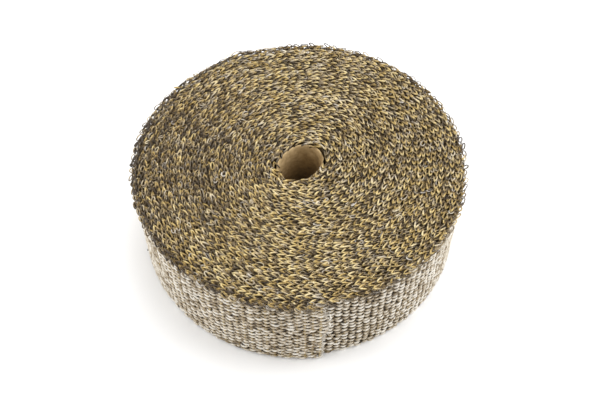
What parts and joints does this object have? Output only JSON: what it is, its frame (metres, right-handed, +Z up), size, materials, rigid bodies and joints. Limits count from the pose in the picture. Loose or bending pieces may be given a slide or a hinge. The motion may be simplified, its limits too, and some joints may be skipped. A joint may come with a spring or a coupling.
{
  "type": "exhaust heat wrap roll",
  "caption": "Roll of woven exhaust heat wrap tape wound on a thin cardboard tube, standing on its end.",
  "frame": {"origin": "centre of the roll's lower end, on the axis, level with the edge it stands on", "axes": "+Z up along the roll's axis, -Y towards the side where the tape's free end lies, +X to the right of it"},
  "size_m": [0.1596, 0.1596, 0.05],
  "materials": {
    "woven_tape": "matte",
    "kraft_board": "matte"
  },
  "bodies": {
    "root": {"wound_tape": "woven_tape", "core_tube": "kraft_board"}
  },
  "joints": []
}
